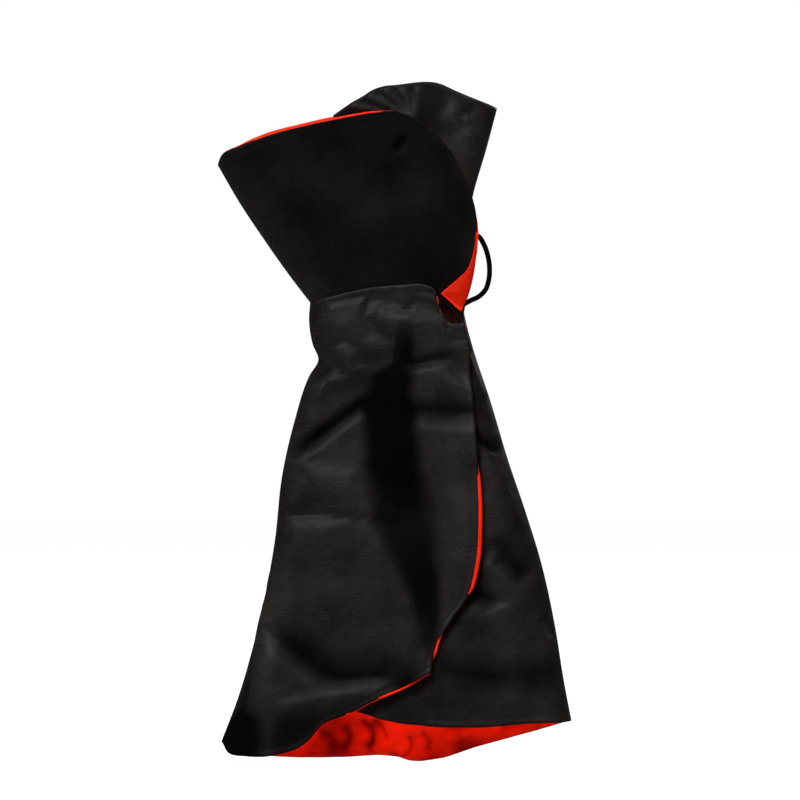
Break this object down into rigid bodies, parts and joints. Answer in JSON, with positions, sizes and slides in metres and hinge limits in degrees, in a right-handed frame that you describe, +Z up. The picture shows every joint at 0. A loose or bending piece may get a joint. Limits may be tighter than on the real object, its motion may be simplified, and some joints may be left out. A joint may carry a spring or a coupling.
{
  "type": "costume cape",
  "caption": "Short lapped costume cape in black satin with a red satin lining, a tall flared stiffened collar and an elastic cord loop at the neck.",
  "frame": {"origin": "centre of the neckline, in the middle of the neck opening", "axes": "+Z up from hem to collar, -Y the way the wearer faces, -X the wearer's right"},
  "size_m": [0.1998, 0.0478, 0.3867],
  "materials": {
    "black_satin": "black satin weave with a soft sheen",
    "red_satin": "bright red satin lining",
    "interfacing": "stiff non-woven interfacing, hidden",
    "cord_black": "braided black cord sheath",
    "cord_core": "elastic core, hidden",
    "thread_black": "black sewing thread"
  },
  "bodies": {
    "body": {"back_shell": "black_satin", "back_lining": "red_satin", "right_front_shell": "black_satin", "right_front_lining": "red_satin", "left_front_shell": "black_satin", "left_front_lining": "red_satin"},
    "right_flap": {"right_flap_shell": "black_satin", "right_flap_lining": "red_satin"},
    "left_flap": {"left_flap_shell": "black_satin", "left_flap_lining": "red_satin"},
    "collar": {"collar_back_shell": "black_satin", "collar_back_interfacing": "interfacing", "collar_back_lining": "red_satin", "collar_right_shell": "black_satin", "collar_right_interfacing": "interfacing", "collar_right_lining": "red_satin", "collar_left_shell": "black_satin", "collar_left_interfacing": "interfacing", "collar_left_lining": "red_satin", "cord_tacks": "thread_black"},
    "collar_leaf": {"collar_leaf_shell": "black_satin", "collar_leaf_interfacing": "interfacing", "collar_leaf_lining": "red_satin"},
    "cord": {"cord_sheath": "cord_black", "cord_core": "cord_core"}
  },
  "joints": [
    {"name": "right_flap_fold", "type": "hinge", "parent": "body", "child": "right_flap", "pos_m": [0.043, -0.01833, -0.011], "axis": [-0.4164, -0.0275, -0.9088], "range_deg": [0, 150]},
    {"name": "left_flap_fold", "type": "hinge", "parent": "body", "child": "left_flap", "pos_m": [0.0415, -0.01439, -0.013], "axis": [-0.1137, 0.0301, 0.9931], "range_deg": [0, 60]},
    {"name": "collar_lean", "type": "hinge", "parent": "body", "child": "collar", "pos_m": [0, 0, 0], "axis": [-1, 0, 0], "range_deg": [0, 15]},
    {"name": "collar_leaf_fold", "type": "hinge", "parent": "collar", "child": "collar_leaf", "pos_m": [0.0505, -0.01945, 0.036], "axis": [0.812, 0.0235, -0.5832], "range_deg": [0, 120]},
    {"name": "cord_swing", "type": "hinge", "parent": "collar", "child": "cord", "pos_m": [0.0416, -0.011, -0.004], "axis": [0.2106, 0, 0.9776], "range_deg": [-30, 60]}
  ],
  "couplings": [
    {"joint": "left_flap_fold", "follows": "right_flap_fold", "ratio": 0.4}
  ]
}
